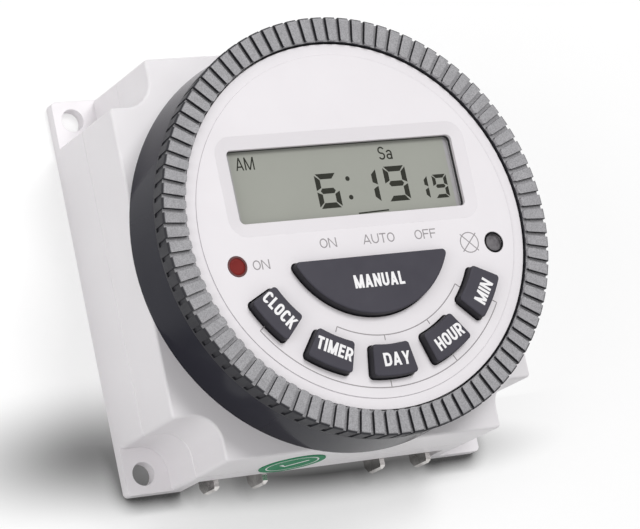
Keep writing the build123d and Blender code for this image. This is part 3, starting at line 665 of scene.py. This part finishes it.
def segment_shapes(x, y, width, height, thick):
    """The seven segments of one figure, by letter, as (x, y) outlines with mitred ends."""
    gap = thick * 0.12
    w, h, t, m = width, height, thick, height / 2
    shapes = {
        "a": [(gap * 2, h), (w - gap * 2, h), (w - t - gap, h - t), (t + gap, h - t)],
        "b": [(w, h - gap * 2), (w, m + gap), (w - t, m + t / 2 + gap), (w - t, h - t - gap)],
        "g": [
            (t / 2 + gap * 2, m), (t + gap, m + t / 2), (w - t - gap, m + t / 2),
            (w - t / 2 - gap * 2, m), (w - t - gap, m - t / 2), (t + gap, m - t / 2),
        ],
    }
    shapes["f"] = [(w - px, py) for px, py in shapes["b"]][::-1]
    for low, high in (("d", "a"), ("c", "b"), ("e", "f")):
        shapes[low] = [(px, h - py) for px, py in shapes[high]][::-1]
    return {name: [(x + px, y + py) for px, py in outline] for name, outline in shapes.items()}


def disc(centre, radius, count=24):
    """A round dot as an outline of count points."""
    return arc(centre, radius, radius, 0, 360 - 360 / count, count - 1)


# The segments of each figure, and the figures with their corner, width, height and thickness
figures = {"1": "bc", "6": "acdefg", "9": "abcdfg"}
time_row = (
    ("6", -4.75, 3.07, 3.7, 5.2, 0.82),
    ("1", 2.0, 3.3, 3.5, 5.2, 0.82),
    ("9", 6.75, 3.3, 3.75, 5.3, 0.82),
    ("1", 11.6, 3.2, 2.25, 3.6, 0.6),
    ("9", 14.7, 3.2, 2.45, 3.6, 0.56),
)
COLON_DOTS = ((0.66, 7.25), (0.62, 4.45))
COLON_RADIUS = 0.36
UNDERLINE = [(1.3, 1.84), (6.4, 1.98), (6.4, 2.2), (1.3, 2.06)]
# Each small word with its middle, height, width and weight
display_words = (
    ("AM", (-15.45, 10.63), 1.9, 3.0, 0.11),
    ("Sa", (7.75, 10.65), 2.0, 2.3, 0.12),
)
display = []
for figure, x, y, width, height, thick in time_row:
    shapes = segment_shapes(x, y, width, height, thick)
    display += [shapes[segment][::-1] for segment in figures[figure]]
display += [disc(dot, COLON_RADIUS) for dot in COLON_DOTS]
display.append(UNDERLINE)
for text, centre, height, width, weight in display_words:
    display += word(text, centre, height, width, 0, weight)
add_object("lcd_figures", printed(display, GLASS_TOP), SEGMENT, "case")

# The film ends in a bare margin at each side, with a pale cut edge
FILM_END = 18.72
FILM_MARGIN = 0.85
FILM_EDGE = 0.09
FILM_LOW, FILM_HIGH = 1.4, 12.5


def film_bands(inner, outer):
    """An upright band between two distances from the middle, at the left and at the right."""
    corners = ((inner, FILM_LOW), (outer, FILM_LOW), (outer, FILM_HIGH), (inner, FILM_HIGH))
    return [[(side * x, y) for x, y in corners][::side] for side in (-1, 1)]


margins = film_bands(FILM_END - FILM_MARGIN, FILM_END - FILM_EDGE)
edges = film_bands(FILM_END - FILM_EDGE, FILM_END)
add_object("film_margins", printed(margins, GLASS_TOP), FILM_BARE, "case")
add_object("film_edges", printed(edges, GLASS_TOP), PRINT_WHITE, "case")


# Sticker: a ring and a tick in pale ink, on the lower side of the case

STICKER_RING_RADIUS = 3.9
STICKER_RING_WIDTH = 0.22
TICK_POINTS = ((-1.9, 0.1), (-0.6, -1.3), (2.0, 1.6))
TICK_WIDTH = 0.6


def sticker_marks():
    """The marks, drawn flat and then stood up against the sticker's face."""
    low, high = (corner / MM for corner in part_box("seal_sticker"))
    centre = Vector(((low.x + high.x) / 2, (low.z + high.z) / 2))
    radius = STICKER_RING_RADIUS
    halves = [arc(centre, radius, radius, start, start + 180) for start in (0, 180)]
    tick = [tuple(centre + Vector(point)) for point in TICK_POINTS]
    mesh = printed([strip(half, STICKER_RING_WIDTH) for half in halves] + [strip(tick, TICK_WIDTH)], 0)
    mesh.transform(Matrix.Translation(Vector((0, low.y * MM, 0))) @ Matrix.Rotation(pi / 2, 4, "X"))
    add_object("sticker_marks", mesh, PRINT_WHITE, "case")


sticker_marks()


# Floor and sky

# The sky's strength at the horizon and overhead
SKY_LOW = 0.36
SKY_HIGH = 0.56
# The floor as the camera sees it, what is added to that, and the floor that lights the object
FLOOR_SEEN = 0.50
FLOOR_LIFT = 0.52
FLOOR_BOUNCE = 0.78
# The shadow where the case stands: its reach in millimetres, the side that it looks to, how dark it gets,
# the openness at which it is darkest and gone, and the band of Y in millimetres in which it fades out
SHADOW_REACH = 3.0
SHADOW_SIDE = (0, 0.55, 0.84)
SHADOW_DARKEST = 0.06
SHADOW_OPENNESS = (0.4, 0.95)
SHADOW_BAND = (-31.0, -21.5)
# Soft shadows on the floor: centre, half width and half depth in millimetres, and how dark
CORNER_SHADOW = ((-33.0, -23.0), (32.0, 12.0), 0.76)
WIDE_SHADOW = ((5.0, -24.0), (52.0, 22.0), 0.17)
EDGE_SHADOW = ((5.0, -29.0), (44.0, 6.4), 0.97)


def seen_rays(n):
    """One for rays from the camera, or that come by way of a mirror or through glass."""
    paths = n.add("ShaderNodeLightPath").outputs
    camera_or_mirror = n.maths("MAXIMUM", paths["Is Camera Ray"], paths["Is Glossy Ray"])
    return n.maths("MAXIMUM", camera_or_mirror, paths["Is Transmission Ray"])


def soft_shadow(n, centre, reach, depth):
    """One away from an ellipse on the floor, falling to one less depth near its middle."""
    place = n.add("ShaderNodeMapping")
    for axis in (0, 1):
        place.inputs["Scale"].default_value[axis] = 1 / (reach[axis] * MM)
        place.inputs["Location"].default_value[axis] = -centre[axis] / reach[axis]
    n.link(n.coordinates.outputs["Object"], place.inputs["Vector"])
    round_off = n.add("ShaderNodeTexGradient", gradient_type="SPHERICAL")
    n.link(place.outputs["Vector"], round_off.inputs["Vector"])
    ease = n.add("ShaderNodeMapRange", interpolation_type="SMOOTHSTEP")
    ease.inputs["To Min"].default_value = 1
    ease.inputs["To Max"].default_value = 1 - depth
    n.link(round_off.outputs["Fac"], ease.inputs["Value"])
    return ease.outputs["Result"]


def contact_shadow(n):
    """One in the open, and dark where the floor meets what stands on it."""
    touch = n.add("ShaderNodeAmbientOcclusion", samples=12)
    touch.inputs["Distance"].default_value = SHADOW_REACH * MM
    aside = n.add("ShaderNodeCombineXYZ")
    for socket, value in zip(aside.inputs, SHADOW_SIDE):
        socket.default_value = value
    n.link(aside.outputs["Vector"], touch.inputs["Normal"])
    return n.spread(touch.outputs["AO"], SHADOW_DARKEST, 1, *SHADOW_OPENNESS)


def floor_material():
    """A pale matt floor with a soft shadow under the lower side of the case. The camera and
    mirror-like surfaces see it paler than the light that it throws back."""
    n = material_nodes("floor")
    eye = seen_rays(n)
    painted = n.maths("MULTIPLY", soft_shadow(n, *EDGE_SHADOW), soft_shadow(n, *WIDE_SHADOW))
    beside = n.maths("MULTIPLY", contact_shadow(n), painted)
    beside = n.maths("MAXIMUM", n.rise(n.along("Object", "Y"), *SHADOW_BAND), beside)
    lit = n.maths("MULTIPLY", beside, soft_shadow(n, *CORNER_SHADOW))
    seen = n.blend(lit, (0.0,) * 3, (FLOOR_SEEN,) * 3)
    n.shade(
        Base_Color=n.blend(eye, (FLOOR_BOUNCE,) * 3, seen),
        Roughness=0.9,
        Specular_IOR_Level=0.0,
        Emission_Color=(1, 1, 1, 1),
        Emission_Strength=n.maths("MULTIPLY", eye, n.spread(lit, 0, FLOOR_LIFT, 0, 1)),
    )
    return n.owner


def make_floor(half=1.5, opening=22 * MM):
    """The floor, left open under the middle of the case so that the two don't share a face there."""
    square = ((-1, -1), (1, -1), (1, 1), (-1, 1))
    corners = [(x * reach, y * reach, 0) for reach in (half, opening) for x, y in square]
    sides = [(i, (i + 1) % 4, (i + 1) % 4 + 4, i + 4) for i in range(4)]
    mesh = bpy.data.meshes.new("floor")
    mesh.from_pydata(corners, [], sides)
    mesh.materials.append(floor_material())
    floor = bpy.data.objects.new("floor", mesh)
    bpy.context.scene.collection.objects.link(floor)


def make_world():
    """A soft white sky, brighter overhead than at the horizon. The camera and mirror-like
    surfaces see it plain white."""
    world = bpy.data.worlds.new("studio")
    n = Nodes(world, "ShaderNodeBackground", "ShaderNodeOutputWorld")
    strength = n.add("ShaderNodeMix")
    n.link(seen_rays(n), strength.inputs["Factor"])
    n.link(n.spread(n.along("Generated", "Z"), SKY_LOW, SKY_HIGH, 0, 1), strength.inputs["A"])
    strength.inputs["B"].default_value = 1.0
    n.shade(Color=(1, 1, 1, 1), Strength=strength.outputs["Result"])
    bpy.context.scene.world = world


# Lamps and camera

# The photograph's viewpoint: the camera's place in metres, its ways right and up, and its lens
CAMERA_PLACE = Vector((-0.2385696, -0.0999139, 0.4307338))
CAMERA_RIGHT = Vector((0.86763678, -0.20525544, 0.45285387))
CAMERA_UP = Vector((0.08321339, 0.95791078, 0.27474073))
CAMERA_LENS = 186.894


def area_lamp(name, place, size, power):
    """A square lamp that faces the object's middle."""
    lamp = bpy.data.lights.new(name, "AREA")
    lamp.shape = "SQUARE"
    lamp.size = size
    lamp.energy = power
    holder = bpy.data.objects.new(name, lamp)
    holder.location = place
    holder.rotation_mode = "QUATERNION"
    holder.rotation_quaternion = (-Vector(place)).to_track_quat("-Z", "Y")
    bpy.context.scene.collection.objects.link(holder)


def make_camera():
    """A camera at the photograph's viewpoint."""
    camera = bpy.data.cameras.new("photo_camera")
    camera.sensor_width = 36
    camera.lens = CAMERA_LENS
    camera.clip_start = 0.01
    camera.clip_end = 10
    holder = bpy.data.objects.new("photo_camera", camera)
    axes = Matrix((CAMERA_RIGHT, CAMERA_UP, CAMERA_RIGHT.cross(CAMERA_UP))).transposed()
    holder.matrix_world = Matrix.Translation(CAMERA_PLACE) @ axes.to_4x4()
    bpy.context.scene.collection.objects.link(holder)
    bpy.context.scene.camera = holder


make_floor()
make_world()
area_lamp("key_lamp", place=(0.153, 0.287, 0.731), size=0.25, power=2.7)
area_lamp("fill_lamp", place=(-0.68, -0.06, 0.40), size=0.5, power=1.5)
make_camera()
bpy.context.scene.view_settings.view_transform = "Standard"
